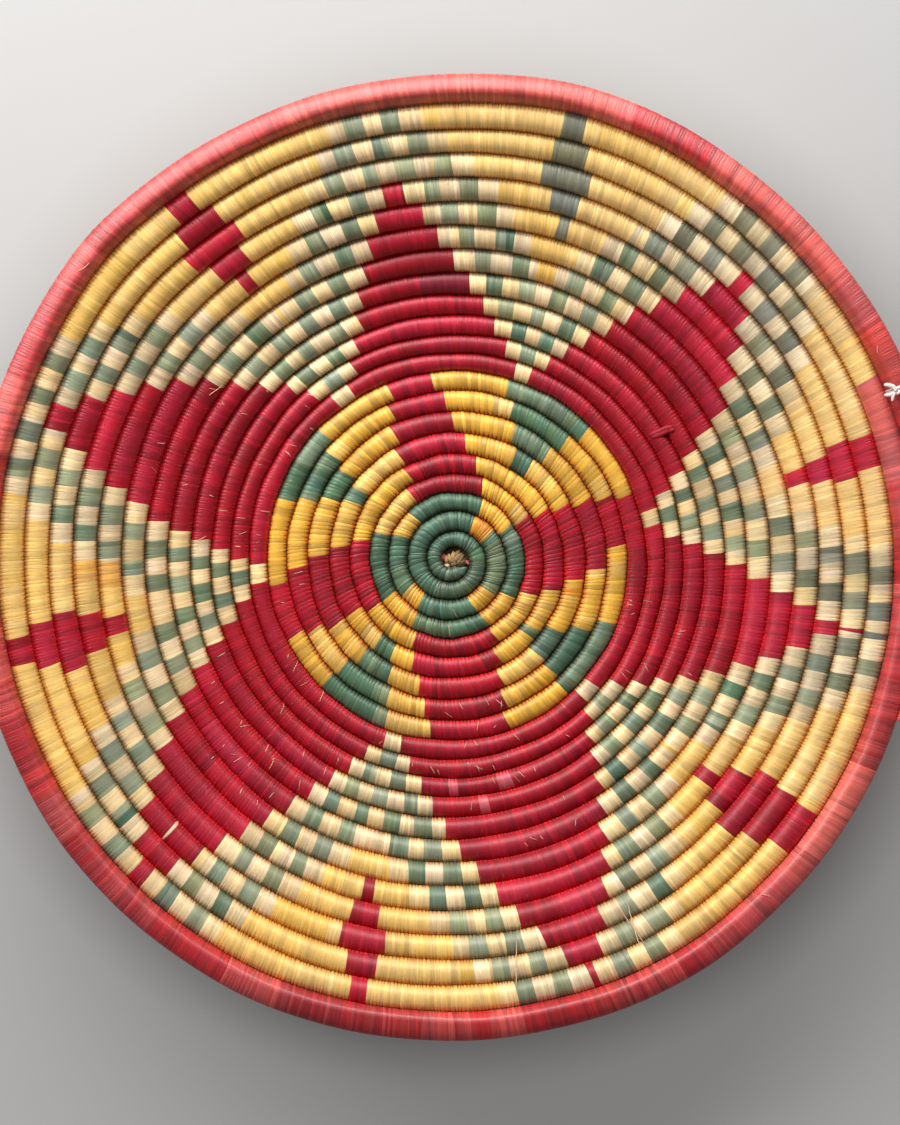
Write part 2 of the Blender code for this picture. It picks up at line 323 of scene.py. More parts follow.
# %% [markdown]
# ## Floor and light
# The floor is plain and pale. Past the basket it glows a little, for the camera and reflections only, so
# it looks paler there and lights nothing. The key lamp is long and low, near the +Y side: it puts a thin
# bright line on the upper edge of each row in the top half of the picture and a broad one on the rows
# that face it in the lower half. A weak wide lamp high above fills the shadows and is left out of
# reflections.

# %% Floor and light
FLOOR_HALF = 3.0
FLOOR_DEPTH = 0.0004
FLOOR_COLOUR = (0.37, 0.362, 0.352)
FLOOR_LIFT = 0.12
FLOOR_LIFT_FROM = (0.15, 0.19)
WORLD_STRENGTH = 0.14

floor_mesh = bpy.data.meshes.new("floor")
floor_corners = [(-1, -1), (1, -1), (1, 1), (-1, 1)]
floor_points = [(x * FLOOR_HALF, y * FLOOR_HALF, -FLOOR_DEPTH) for x, y in floor_corners]
floor_mesh.from_pydata(floor_points, [], [(0, 1, 2, 3)])
add_object("floor", floor_mesh)
floor_finish = Finish("pale_floor")
seen = 0.0
for ray in ("Is Camera Ray", "Is Glossy Ray", "Is Transmission Ray"):
    seen = floor_finish.maths("MAXIMUM", floor_finish.node("LightPath", output=ray), seen)
from_centre = {0: floor_finish.node("TexCoord", output="Object")}
from_centre = floor_finish.node("VectorMath", from_centre, "Value", operation="LENGTH")
lift = floor_finish.ranged(from_centre, *FLOOR_LIFT_FROM, 0.0, FLOOR_LIFT)
floor_finish.set(floor_finish.shader, {
    "Base Color": (*FLOOR_COLOUR, 1.0),
    "Roughness": 0.9,
    "Emission Strength": floor_finish.maths("MULTIPLY", seen, lift),
})
floor_mesh.materials.append(floor_finish.paint)


def add_lamp(name, at, size, watts):
    """A lamp with four corners, this long and wide, that faces the origin."""
    lamp_data = bpy.data.lights.new(name, "AREA")
    lamp_data.shape = "RECTANGLE"
    lamp_data.size, lamp_data.size_y = size
    lamp_data.energy = watts
    lamp = add_object(name, lamp_data)
    lamp.location = at
    lamp.rotation_euler = lamp.location.to_track_quat("Z", "Y").to_euler()
    return lamp


add_lamp("key_lamp", at=(-0.16, 0.50, 0.39), size=(1.4, 0.30), watts=10.8)
fill_lamp = add_lamp("fill_lamp", at=(0.0, 0.1, 2.2), size=(1.4, 1.4), watts=6.5)
fill_lamp.visible_glossy = False

world = bpy.data.worlds.new("studio")
bpy.context.scene.world = world
world.use_nodes = True
world.node_tree.nodes["Background"].inputs["Color"].default_value = (1.0, 1.0, 1.0, 1.0)
world.node_tree.nodes["Background"].inputs["Strength"].default_value = WORLD_STRENGTH
bpy.context.scene.view_settings.view_transform = "Standard"
print(f"floor {2 * FLOOR_HALF:.0f} m wide, {len(bpy.data.lights)} lamps")

# %% [markdown]
# ## The pattern
# A maker counts the pattern in strands: a petal grows by the same number on every row, and the checks
# beside it are five or six each. So widths here are lengths along the coil, turned into degrees by the
# row's radius, and an edge that grows by equal lengths is straight over the sum of one over the radius.
# Rows are numbered from the rim inwards: 1 is the outermost decorated row, 21 the first turn.

# %% Dyes and the radius of each row
STRAW, GOLD, CREAM, CRIMSON, GREEN, SLATE, SCARLET = DYES = range(7)
CREAM_RUN = 0.0066
GREEN_RUN = 0.0060
INNER_ROW_OF_PETALS = 12
ROW_OF_FIRST_SPLIT = 7

row_numbers = np.arange(1, DECORATED_TURNS + 1)
row_radius = wall_point(section(DECORATED_TURNS + 0.5 - row_numbers)[0])[0]
row_growth = np.cumsum(1.0 / row_radius)


def growth(row):
    """The sum of one over the radius, from the outermost row in to this one."""
    return np.interp(row, row_numbers, row_growth)


def edge_angle(row, rows, angles):
    """An edge of the pattern: straight over growth between the rows where its angle is given."""
    return np.interp(growth(row), growth(np.array(rows)), angles)


# %% [markdown]
# Each petal is given by its tip row and the angles of its two edges on three rows. The wedge of checks
# between two petals starts as one cream block on row 12 and gains a green block on every row outwards.
# From row 7 on it is too wide to fill, so the checks stay beside the petals and plain straw opens between
# them. Past a petal's tip its two borders of checks meet, and they run out over the next rows.

# %% Petals, wedges and diamonds
PETAL_ROWS = (ROW_OF_FIRST_SPLIT, INNER_ROW_OF_PETALS)
PETALS = (
    (4, (-10.3, -16.6, -30.2), (-7.3, 0.6, 18.6)),
    (3, (44.7, 36.2, 23.1), (47.2, 60.5, 75.4)),
    (3, (98.7, 90.7, 77.2), (101.0, 112.8, 131.3)),
    (1, (160.4, 148.4, 136.3), (161.7, 178.3, 195.5)),
    (1, (224.3, 213.6, 201.1), (226.5, 244.2, 263.4)),
    (2, (288.6, 278.1, 268.9), (292.3, 307.2, 324.3)),
)
SEAM_PETAL = 1
SEAM_REACH_DEG = 99.0
TIP_DRIFT_DEG = 0.45
BORDER_CHECKS = 5

DIAMONDS = (
    ((1, 3, 5), (15.6, 16.6, 18.1), (1.3, 3.55, 1.05), SLATE),
    ((1, 2, 4), (74.9, 75.4, 76.2), (2.2, 2.75, 1.15), CRIMSON),
    ((1, 3, 5), (127.6, 129.0, 130.0), (3.2, 5.3, 1.4), CRIMSON),
    ((1, 3, 5), (192.4, 193.3, 194.2), (1.15, 3.4, 1.05), CRIMSON),
    ((1, 3, 5), (258.9, 258.8, 259.7), (1.9, 4.25, 1.65), CRIMSON),
    ((1, 3, 5), (323.0, 323.3, 323.7), (1.55, 4.35, 1.15), CRIMSON),
)


def petal_edges(petal, row):
    """Left and right edge of a petal. Past its tip both are its axis, which drifts back a little."""
    tip, left, right = PETALS[petal]
    axis = (left[0] + right[0]) / 2.0 - TIP_DRIFT_DEG * (tip - row)
    return [np.where(row < tip, axis, edge_angle(row, (tip, *PETAL_ROWS), side)) for side in (left, right)]


def border_of_checks(away, row, tip):
    """Cream, green, cream, green, cream beside a petal, by the angle away from it. Past the tip the
    greens of the two sides share one even spacing, and one fewer is left on each row outwards."""
    radius = np.interp(row, row_numbers, row_radius)
    cream, green = np.degrees(CREAM_RUN / radius), np.degrees(GREEN_RUN / radius)
    period = cream + green
    beside = row >= tip
    count = np.where(beside, BORDER_CHECKS - 1, BORDER_CHECKS - (tip - row))
    first = np.where(beside, period - green / 2.0, np.where(count % 2 == 0, period / 2.0, 0.0))
    steps = np.round((away - first) / period)
    last = np.where(beside, 1, (count + 1) // 2 - 1)
    in_green = (np.abs(away - first - steps * period) < green / 2.0) & (steps >= 0) & (steps <= last)
    in_cream = away < first + last * period + green / 2.0 + cream
    return np.where(in_green, GREEN, np.where(in_cream, CREAM, STRAW))


def wedge_dyes(theta, row, low, high, low_tip, high_tip):
    """Even checks across the narrow rows, and a border along each side on the wide ones."""
    greens = np.maximum(INNER_ROW_OF_PETALS - row, 0)
    block = np.floor((theta - low) / (high - low) * (2 * greens + 1))
    even = np.where(block % 2 == 1, GREEN, CREAM)
    left = border_of_checks(theta - low, row, low_tip)
    right = border_of_checks(high - theta, row, high_tip)
    borders = np.where(left == STRAW, right, np.where(right == GREEN, GREEN, left))
    return np.where(row > ROW_OF_FIRST_SPLIT, even, borders)


# %% [markdown]
# The coil climbs one row at the seam, and the pattern near it was counted on the row outside. So just
# past the seam the petal that crosses it is looked up one row further in.


# %% The petal zone, rows 1 to 12
def petal_zone(row, theta):
    """Dyes of strands at these angles on one row."""
    past_seam = (theta >= SEAM_DEG) & (theta < SEAM_REACH_DEG)
    dyes = np.full(theta.shape, CRIMSON)
    for petal in range(len(PETALS)):
        following = (petal + 1) % len(PETALS)
        crosses = petal == SEAM_PETAL
        own_row = row + past_seam * crosses
        next_row = np.where(past_seam, row, row - 1) if crosses else own_row
        low = petal_edges(petal, own_row)[1]
        high = petal_edges(following, next_row)[0] + 360.0 * (following == 0)
        here = np.where((theta > 180.0) & (petal == 0), theta - 360.0, theta)
        inside = (here >= low) & (here < high) & (own_row <= INNER_ROW_OF_PETALS)
        checks = wedge_dyes(here, own_row, low, high, PETALS[petal][0], PETALS[following][0])
        dyes = np.where(inside, checks, dyes)
    for rows, centres, halves, dye in DIAMONDS:
        centre, half = np.interp(row, rows, centres), np.interp(row, rows, halves)
        if rows[0] <= row <= rows[-1]:
            dyes = np.where(np.abs(theta - centre) < half, dye, dyes)
    return dyes


# %% [markdown]
# The middle of the pattern is a rosette. Four gold sectors widen outwards, each with a green wedge in its
# outer rows. Crimson fills the spaces between them, and the inner rows are green. Edges are again given
# on a few rows and drawn straight in between.

# %% The rosette, rows 13 to 21
SECTOR_ROWS = (13, 15, 17, 19, 20)
SECTORS = (
    ((-5.7, 1.3, 13.4, 29.5, 32.6), (69.0, 65.3, 62.9, 57.9, 56.3)),
    ((85.5, 98.7, 113.6, 130.0), (161.4, 158.3, 150.7, 156.0)),
    ((187.0, 194.2, 206.0, 219.0), (245.0, 241.6, 240.5, 239.0)),
    ((262.8, 271.5, 283.4, 296.0), (340.5, 335.2, 333.5, 322.3)),
)
GREEN_WEDGE_ROWS = (13, 16)
GREEN_WEDGES = (
    ((18.2, 30.8), (46.3, 38.7)),
    ((111.4, 129.4), (139.0, 135.5)),
    ((202.3, 212.8), (226.6, 222.5)),
    ((290.2, 301.2), (314.7, 306.5)),
)
GREEN_START_ROW = 18
GREEN_START_DEG = 327.8


def between(here, row, rows, edges):
    """Which angles lie between two edges, on the rows where these edges are given."""
    rows = rows[:len(edges[0])]
    low, high = (np.interp(row, rows, angles) for angles in edges)
    return (here >= low) & (here < high) & (row >= rows[0]) & (row <= rows[-1])


def rosette_zone(row, theta):
    """Dyes of strands at these angles, also just past the seam on row 12."""
    dyes = np.full(theta.shape, GREEN if row > GREEN_START_ROW else CRIMSON)
    if row == GREEN_START_ROW:
        dyes = np.where((theta >= SEAM_DEG) & (theta < GREEN_START_DEG), GREEN, dyes)
    for sector, wedge in zip(SECTORS, GREEN_WEDGES):
        crosses = sector is SECTORS[0]
        own_row = row + ((theta >= SEAM_DEG) & (theta < SEAM_REACH_DEG)) * crosses
        here = np.where(crosses & (theta > 180.0), theta - 360.0, theta)
        inside = between(here, own_row, SECTOR_ROWS, sector)
        dyes = np.where(inside, GOLD, dyes)
        dyes = np.where(inside & between(here, own_row, GREEN_WEDGE_ROWS, wedge), GREEN, dyes)
    return dyes


def row_dyes(row, theta):
    """Dyes of one row's strands. Row 0 is the rim."""
    theta = np.mod(theta, 360.0)
    if row < 1:
        return np.full(theta.shape, SCARLET)
    rosette = rosette_zone(row, theta)
    if row > INNER_ROW_OF_PETALS:
        return rosette
    gold = (rosette == GOLD) & (row == INNER_ROW_OF_PETALS)
    return np.where(gold, GOLD, petal_zone(row, theta))


def dye_degrees(row):
    """How many degrees of a row each dye has, looked at once a degree."""
    return np.bincount(row_dyes(row, SEAM_DEG + 0.5 + np.arange(360)), minlength=len(DYES))


print("degrees of each dye:", np.sum([dye_degrees(row) for row in range(DECORATED_TURNS + 1)], axis=0))

# %% [markdown]
# ## The colour of each strand
# No two strands took the dye alike. A maker works with one batch after another, so the colour jumps a
# little every dozen strands, and single strands differ too. The outer rows have had the most light: their
# greens have gone grey and their yellows pale, most of all at the upper right. The rim is paler and pinker
# round two directions: round the top of the picture this paleness is painted sheen of the key lamp, and
# round the lower right it is only paler. A few stretches have a dye of their own. Colours are written as
# they look in daylight and turned into the linear values that the shader wants.
#
# Between two rows, light goes from strand to strand and takes on more of the dye each time. So every dye
# also has a painted valley shade, given as shares of its red, green and blue: the shade and dyed bounce
# light down between two rows, painted into the colour.

# %% Dyes, fresh and pale, and their painted valley shade
DYE_LOOKS = {
    STRAW: ((235, 188, 96), (245, 204, 134), (0.80, 0.48, 0.09)),
    GOLD: ((226, 170, 60), (240, 198, 120), (0.86, 0.46, 0.05)),
    CREAM: ((234, 202, 152), (230, 206, 162), (0.62, 0.34, 0.12)),
    CRIMSON: ((161, 4, 31), (191, 33, 60), (1.60, 0.14, 0.26)),
    GREEN: ((76, 108, 83), (150, 154, 121), (0.60, 0.45, 0.34)),
    SLATE: ((118, 120, 102), (140, 136, 114), (0.60, 0.45, 0.34)),
    # The rim's pale colour also serves as its painted sheen at the top of the picture.
    SCARLET: ((180, 22, 32), (224, 106, 96), (1.20, 1.10, 0.90)),
}
GREYED_GREEN = (126, 120, 102)
PATCHES = (
    (8, 353.8, 364.0, (128, 24, 44)),
    (9, 171.0, 173.2, (206, 96, 108)),
    (10, 164.5, 168.0, (208, 92, 106)),
    (10, 178.2, 180.6, (200, 80, 96)),
    (15, 102.0, 107.0, (226, 146, 34)),
    (20, 30.0, 52.0, (224, 146, 40)),
    (7, 16.0, 20.0, (232, 180, 84)),
    (5, 266.0, 270.0, (226, 166, 80)),
    (4, 267.0, 270.5, (228, 172, 90)),
    (3, 226.55, 226.85, (240, 206, 160)),
    (0, 66.0, 79.0, (203, 88, 84)),
    (0, 60.0, 66.0, (204, 56, 46)),
    (-1, 66.0, 69.0, (204, 56, 46)),
)


def daylight(colour):
    """A colour read in the usual 0 to 255 steps, as linear light."""
    shade = np.array(colour) / 255.0
    return np.where(shade <= 0.04045, shade / 12.92, ((shade + 0.055) / 1.055) ** 2.4)


fresh, faded_and_sheen, valley_shade_share = (np.array([DYE_LOOKS[dye][look] for dye in DYES]) for look in range(3))
fresh, faded_and_sheen = daylight(fresh), daylight(faded_and_sheen)
print(f"{len(DYE_LOOKS)} dyes and {len(PATCHES)} patches of their own colour")

# %% [markdown]
# Fade, tone and warmth each vary by chance, once for the batch and once for the strand. A warm strand has
# more red and less blue. The tables give how wide each chance is, by dye in the order above, or by row.

# %% How strands differ
BATCH_STRANDS = 13
BATCH_FADES = np.array([0.14, 0.38, 0.20, 0.20, 0.30, 0.20, 0.20])
BATCH_TONES = np.array([0.06, 0.09, 0.11, 0.11, 0.17, 0.11, 0.11])
BATCH_WARMTH = 0.06
STRAND_FADE = 0.10
STRAND_WARMTH = 0.03
TONE_ROWS = (0, 1, 12, 13, 17)
STRAND_TONES = (0.20, 0.09, 0.10, 0.14, 0.23)
CRIMSON_TONE = 1.35
TONE_RANGE = (0.7, 1.3)
WARMTH_LIMIT = 0.1
WARM_RED, WARM_BLUE = 0.3, 1.6

GREEN_FADE_ROWS = (1, 7, 12, 13, 18)
GREEN_FADES = (0.92, 0.74, 0.60, 0.20, 0.0)
ROW_FADES = (((66.0, 60.0),), 0.30, 0.95)
# On the rim, the paling round 342 degrees, at the top of the picture, is painted sheen of the key lamp.
RIM_FADES_AND_SHEEN = (((342.0, 45.0), (129.0, 20.0)), 0.17, 0.66)


def fading_and_rim_sheen(row, theta):
    """How pale the strands are: most on the outermost rows, around one direction there and two on the rim.
    Round the top of the picture the rim's paleness is painted sheen."""
    places, least, most = ROW_FADES if row > 0 else RIM_FADES_AND_SHEEN
    bleach_and_sheen = np.max([smooth(1.3 - np.abs(aside(theta, at)) / half) for at, half in places], axis=0)
    return smooth((9.0 - row) / 6.0) * (least + (most - least) * bleach_and_sheen)


def strand_colours(row, theta, dyes, rng):
    """Each strand's colour: its dye, paled towards its old colour, then lightened or darkened. On the rim's
    top the paling is painted sheen. Greens go further than the rest, and where all go furthest they turn
    grey."""
    breaks = rng.random(theta.size) < 1.0 / BATCH_STRANDS
    breaks |= np.append(True, dyes[1:] != dyes[:-1])
    batch = np.cumsum(breaks)

    def by_batch():
        return rng.standard_normal(batch.max() + 1)[batch]

    def by_strand():
        return rng.standard_normal(theta.size)

    is_green = dyes == GREEN
    fade_and_sheen = fading_and_rim_sheen(row, theta)
    greyed = (np.clip(1.6 * fade_and_sheen - 0.8, 0.0, 0.8) * is_green)[:, None]
    fade_and_sheen = np.where(is_green, np.maximum(fade_and_sheen, np.interp(row, GREEN_FADE_ROWS, GREEN_FADES)), fade_and_sheen)
    fade_and_sheen = fade_and_sheen + BATCH_FADES[dyes] * by_batch() + STRAND_FADE * by_strand()
    fade_and_sheen = np.clip(fade_and_sheen, 0.0, 1.0)[:, None]
    colour = fresh[dyes] * (1.0 - fade_and_sheen) + faded_and_sheen[dyes] * fade_and_sheen
    colour = colour * (1.0 - greyed) + daylight(GREYED_GREEN) * greyed
    own_row = DECORATED_TURNS - np.floor((theta - SEAM_DEG) / 360.0)
    for patch_row, start, end, own in PATCHES:
        near = (np.mod(theta - start, 360.0) < end - start) & (own_row == patch_row)
        colour = np.where(near[:, None], daylight(own), colour)
    tone = 1.0 + BATCH_TONES[dyes] * by_batch()
    strand_tone = np.interp(row, TONE_ROWS, STRAND_TONES) * np.where(dyes == CRIMSON, CRIMSON_TONE, 1.0)
    tone = tone * (1.0 + strand_tone * by_strand())
    warmth = BATCH_WARMTH * by_batch() + STRAND_WARMTH * by_strand()
    warmth = np.clip(warmth, -WARMTH_LIMIT, WARMTH_LIMIT)
    tint = np.stack([1.0 + WARM_RED * warmth, np.ones(theta.size), 1.0 - WARM_BLUE * warmth], axis=-1)
    return np.clip(colour * np.clip(tone, *TONE_RANGE)[:, None] * tint, 0.0, 1.0)


# %% [markdown]
# ## Strands
# A strand is narrower than a millimetre and a half, flat, and pulled round the bundle until its edges
# roll under. Across its width it is a low arch with a sharp groove on either side, and it leans a little:
# its outer end lies further back than its inner one. Separate strips would need far more faces, so one
# sheet is carried along the whole row, with a ring of points in every groove and three across every
# strand. Grooves are marked sharp. They are deepest on the flanks and close again where the rows touch,
# so no light comes through.

# %% How strands lie
SIDES = 16
STRAND_STEPS = np.array([0.0, 0.2, 0.5, 0.8])
STRAND_ARCH = 1.0 - np.abs(2.0 * STRAND_STEPS - 1.0) ** 3
PITCH_ROWS = (1, 12, 13, 16, 21)
PITCHES = (0.00120, 0.00118, 0.00142, 0.00148, 0.00130)
RIM_PITCH = 0.00095
LEAN_ROWS = (1, 12, 14, 21)
LEANS_DEG = (4.5, 6.0, 10.0, 12.0)
GROOVE_ROWS = (1, 12, 16, 21)
GROOVE_TOPS = (0.00003, 0.00003, 0.00009, 0.00018)
GROOVE_SIDE = 0.00042
RIM_GROOVE_SIDE = 0.00030
ROUNDNESS = 1.92
FLANK_FULLNESS = 1.06
RIM_ROUNDNESS = 1.32
RIM_RIDGE_SHIFT = (0.02, 0.14)
RIM_RIDGE_WANDER = 0.06
TOUCH_GAP = 0.00003
UNEVEN_WIDTH = 0.20
WIDTH_RANGE = (0.55, 1.6)
UNEVEN_LEAN_DEG = 2.2
UNEVEN_HEIGHT = 0.40
LENGTH_POINTS = 1025


def circle(sides):
    """Angles shared out evenly round a section."""
    return np.arange(sides) * 2.0 * np.pi / sides


section_angle = circle(SIDES)


def strand_edges(first, last, pitch, uneven, rng):
    """Turns where strands meet: the row's length shared out, each strand a little wider or narrower."""
    fine = np.linspace(first, last, LENGTH_POINTS)
    radius = wall_point(section(fine)[0])[0]
    length = np.concatenate([[0.0], np.cumsum(np.diff(fine) * np.pi * (radius[1:] + radius[:-1]))])
    count = round(length[-1] / pitch)
    widths = np.clip(1.0 + uneven * UNEVEN_WIDTH * rng.standard_normal(count), *WIDTH_RANGE)
    ends = np.concatenate([[0.0], np.cumsum(widths)]) / widths.sum() * length[-1]
    return np.interp(ends, length, fine), ends


def skin_shape(tau):
    """Roundness of the section and place of its crest. The rows are nearly elliptic. The rim has a roof's
    shape, and its ridge runs outside the middle at the top of the picture, inside it at the bottom, and
    wanders in two waves."""
    shift, swing = RIM_RIDGE_SHIFT
    waves = np.sin(14.6 * np.pi * tau) + 0.6 * np.sin(33.8 * np.pi * tau + 1.0)
    ridge = shift + swing * np.cos(np.radians(SEAM_DEG + 360.0 * tau)) + RIM_RIDGE_WANDER * waves
    return ROUNDNESS + (RIM_ROUNDNESS - ROUNDNESS) * rim_swell(tau), ridge * rim_swell(tau)


def surface(tau, angle, lean_deg, inset):
    """The coil's skin. A point goes round the section as a superellipse, half width times cosine and half
    thickness times sine, each to the power 2 over roundness, drawn in by inset. Its flanks are filled
    out, so that rows touch over about a third of their height. The line of points leans: its turn is tau
    less the tangent of the lean times its distance across, over the length of a turn."""
    wave, lift = np.cos(angle), np.sin(angle)
    middle, half, _, _ = section(tau)
    turn = tau - np.tan(np.radians(lean_deg)) * half * wave / (2.0 * np.pi * wall_point(middle)[0])
    _, half, thick, _ = section(turn)
    roundness, ridge = skin_shape(tau)
    power = 2.0 / roundness
    full = np.minimum(FLANK_FULLNESS * np.abs(wave) ** power, 1.0)
    across = (half - TOUCH_GAP) * (np.sign(wave) * full + ridge * lift ** 2) - inset * wave
    up = thick * np.sign(lift) * np.abs(lift) ** power - inset * lift
    return place(turn, across, up)


def strand_sheet(row, edges, lean, uneven, rng):
    """The outer sheet and its arch: one less the cube of the way from a strand's middle. The groove's
    depth goes from the top's to the flank's with the sixth power of the cosine and back where rows
    touch."""
    count = len(edges) - 1
    tau = np.append((edges[:-1, None] + np.diff(edges)[:, None] * STRAND_STEPS).ravel(), edges[-1])
    leans = lean + uneven * UNEVEN_LEAN_DEG * rng.standard_normal(count + 1)
    arch = np.append(np.tile(STRAND_ARCH, count), 0.0)
    slack = np.clip(UNEVEN_HEIGHT * rng.standard_normal(count), 0.0, 2.5 * UNEVEN_HEIGHT)
    slack = np.append(np.repeat(slack, len(STRAND_STEPS)), 0.0) * arch
    top = np.interp(row, GROOVE_ROWS, GROOVE_TOPS)
    flank = GROOVE_SIDE if row > 0 else RIM_GROOVE_SIDE
    wave = np.cos(section_angle)
    depth = top + (flank - top) * wave ** 6 * (1.0 - wave ** 16)
    inset = depth * (1.0 - arch + slack)[:, None]
    return surface(tau[:, None], section_angle, np.interp(tau, edges, leans)[:, None], inset), arch


# %% [markdown]
# Blender takes a mesh fastest as flat arrays. All faces here are quads between one ring of points and the
# next, so their corners follow a rule too. A row is a sleeve: the outer sheet, a plain bore inside it,
# and a band of quads that joins them at either end. So it is closed like the real wrapping and hollow for
# the bundle.


# %% Meshes from arrays
def ring_quads(rings, sides, first=0, flip=False):
    """Corner numbers of the quads between rings that follow each other."""
    ring, side = np.meshgrid(np.arange(rings - 1), np.arange(sides), indexing="ij")
    after = (side + 1) % sides
    here, there = ring * sides, (ring + 1) * sides
    quads = np.stack([here + side, here + after, there + after, there + side], axis=-1)
    quads = first + quads.reshape(-1, 4)
    return quads[:, ::-1] if flip else quads


def mesh_from(name, points, *groups):
    """A smooth mesh of points and groups of faces. All faces of a group have equally many corners."""
    corners = np.concatenate([faces.ravel() for faces in groups])
    sizes = np.concatenate([np.full(len(faces), faces.shape[1]) for faces in groups])
    mesh = bpy.data.meshes.new(name)
    mesh.vertices.add(len(points))
    mesh.vertices.foreach_set("co", points.astype(np.float32).ravel())
    mesh.loops.add(len(corners))
    mesh.loops.foreach_set("vertex_index", corners.astype(np.int32))
    mesh.polygons.add(len(sizes))
    mesh.polygons.foreach_set("loop_start", (np.cumsum(sizes) - sizes).astype(np.int32))
    mesh.update(calc_edges=True)
    mesh.polygons.foreach_set("use_smooth", np.ones(len(sizes), bool))
    return mesh


def add_map(mesh, name, *places):
    """A UV map from groups of places, with one place for each face corner."""
    layer = mesh.uv_layers.new(name=name)
    full = np.concatenate([group.reshape(-1, 2) for group in places])
    layer.data.foreach_set("uv", full.astype(np.float32).ravel())


def add_colours(mesh, name, colours, corners):
    """One colour for each face, written on all its corners."""
    layer = mesh.color_attributes.new(name, "FLOAT_COLOR", "CORNER")
    full = np.concatenate([colours, np.ones((len(colours), 1))], axis=1)
    layer.data.foreach_set("color", np.repeat(full, corners, axis=0).astype(np.float32).ravel())


def mark_sharp(mesh, is_groove):
    """Marks the edges whose two ends both lie in grooves of the same ring."""
    ends = np.empty(len(mesh.edges) * 2, np.int32)
    mesh.edges.foreach_get("vertices", ends)
    ends = ends.reshape(-1, 2)
    same = ends[:, 0] // SIDES == ends[:, 1] // SIDES
    sharp = mesh.attributes.new("sharp_edge", "BOOLEAN", "EDGE")
    sharp.data.foreach_set("value", is_groove[ends[:, 0]] & is_groove[ends[:, 1]] & same)


# %% [markdown]
# Every strand piece carries three maps. Lay is in metres along the coil and round the section, so the
# grain is drawn at its real size. Strand says how far across its strand and how far round the section a
# point is. The third lays the long thin sleeve out in bands, so that it also fits a square picture when
# the finish is baked. Bore and ends have the last band.

# %% Maps of a sleeve
BAKE_BANDS = 9
BAKE_MARGIN = 0.06
BAKE_EDGE = 0.005
PLAIN_LINE = 0.955
PLAIN_HEIGHT = 0.03


def sleeve_maps(mesh, lengths, girth, plain):
    """The three maps, from the lengths along the coil where strands meet. Plain faces come last."""
    count = len(lengths) - 1
    strand = np.repeat(np.arange(count), len(STRAND_STEPS) * SIDES)
    step = np.tile(np.repeat(np.arange(len(STRAND_STEPS)), SIDES), count)
    steps = np.append(STRAND_STEPS, 1.0)
    near, far = steps[step], steps[step + 1]
    share = np.stack([near, near, far, far], axis=-1)
    turned = np.tile(np.arange(SIDES), len(step) // SIDES)[:, None] + np.array([0, 1, 1, 0])
    round_by = turned / SIDES
    along = lengths[strand][:, None] + share * np.diff(lengths)[strand][:, None]
    tail = np.zeros((plain * 4, 2))
    add_map(mesh, "lay", np.stack([along, round_by * girth], axis=-1), tail)
    add_map(mesh, "strand", np.stack([share, round_by], axis=-1), tail + 0.25)

    per_band = math.ceil(count / BAKE_BANDS)
    column = ((strand % per_band)[:, None] + share) / per_band
    line = (strand // per_band)[:, None] + BAKE_MARGIN + round_by * (1.0 - 2.0 * BAKE_MARGIN)
    column = BAKE_EDGE + (1.0 - 2.0 * BAKE_EDGE) * column
    cell = np.array([[0, 0], [1, 0], [1, 1], [0, 1]]) * (0.9 / plain, PLAIN_HEIGHT)
    spare = np.stack([np.arange(plain) / plain * 0.98 + 0.01, np.full(plain, PLAIN_LINE)], axis=-1)
    add_map(mesh, "OFBake", np.stack([column, line / (BAKE_BANDS + 1)], axis=-1), spare[:, None, :] + cell)


# %% [markdown]
# With all of this a row is soon made: its sheet, its bore, the bands at its ends, its maps and its
# colours.

# %% One sleeve of strands
WALL = 0.0008
RINGS_PER_TURN = 72
VALLEY_SHADE_LIMIT = 0.9


def strand_sleeve(name, row, first, last, rng):
    """The mesh of one row and how many strands it has."""
    uneven = 1.0 + 0.8 * smooth((row - 15.0) / 5.0)
    lean = np.interp(row, LEAN_ROWS, LEANS_DEG)
    pitch = np.interp(row, PITCH_ROWS, PITCHES) if row > 0 else RIM_PITCH
    edges, lengths = strand_edges(first, last, pitch, uneven, rng)
    sheet, arch = strand_sheet(row, edges, lean, uneven, rng)
    bore_tau = np.linspace(first, last, max(int((last - first) * RINGS_PER_TURN), 3))
    bore = surface(bore_tau[:, None], section_angle, lean, WALL)

    sheet_faces = ring_quads(len(sheet), SIDES)
    bore_first = len(sheet) * SIDES
    bore_faces = ring_quads(len(bore), SIDES, bore_first, flip=True)
    side = np.arange(SIDES)
    after = (side + 1) % SIDES
    start = np.stack([side, bore_first + side, bore_first + after, after], axis=-1)
    last_ring, last_bore = bore_first - SIDES, bore_first + (len(bore) - 1) * SIDES
    end = np.stack([last_ring + side, last_ring + after, last_bore + after, last_bore + side], axis=-1)
    points = np.concatenate([sheet.reshape(-1, 3), bore.reshape(-1, 3)])
    mesh = mesh_from(name, points, np.concatenate([sheet_faces, bore_faces, start, end]))

    theta = SEAM_DEG + 360.0 * (edges[:-1] + edges[1:]) / 2.0
    dyes = row_dyes(row, theta)
    colours = strand_colours(row, theta, dyes, rng)
    plain = len(bore_faces) + len(start) + len(end)
    # The painted valley shade: each strand's colour times its dye's shares, painted where rows meet.
    for map_name, tones in (("dye", colours), ("painted_valley_shade", np.clip(colours * valley_shade_share[dyes], 0.0, VALLEY_SHADE_LIMIT))):
        on_strands = np.repeat(tones, len(STRAND_STEPS) * SIDES, axis=0)
        add_colours(mesh, map_name, np.concatenate([on_strands, np.tile(tones[:1], (plain, 1))]), 4)
    _, half, thick, _ = section(np.array(first))
    sleeve_maps(mesh, lengths, 2.0 * np.pi * np.sqrt((half ** 2 + thick ** 2) / 2.0), plain)
    grooves = np.zeros(len(points), bool)
    grooves[:bore_first] = np.repeat(arch == 0.0, SIDES)
    mark_sharp(mesh, grooves)
    return mesh, len(dyes)
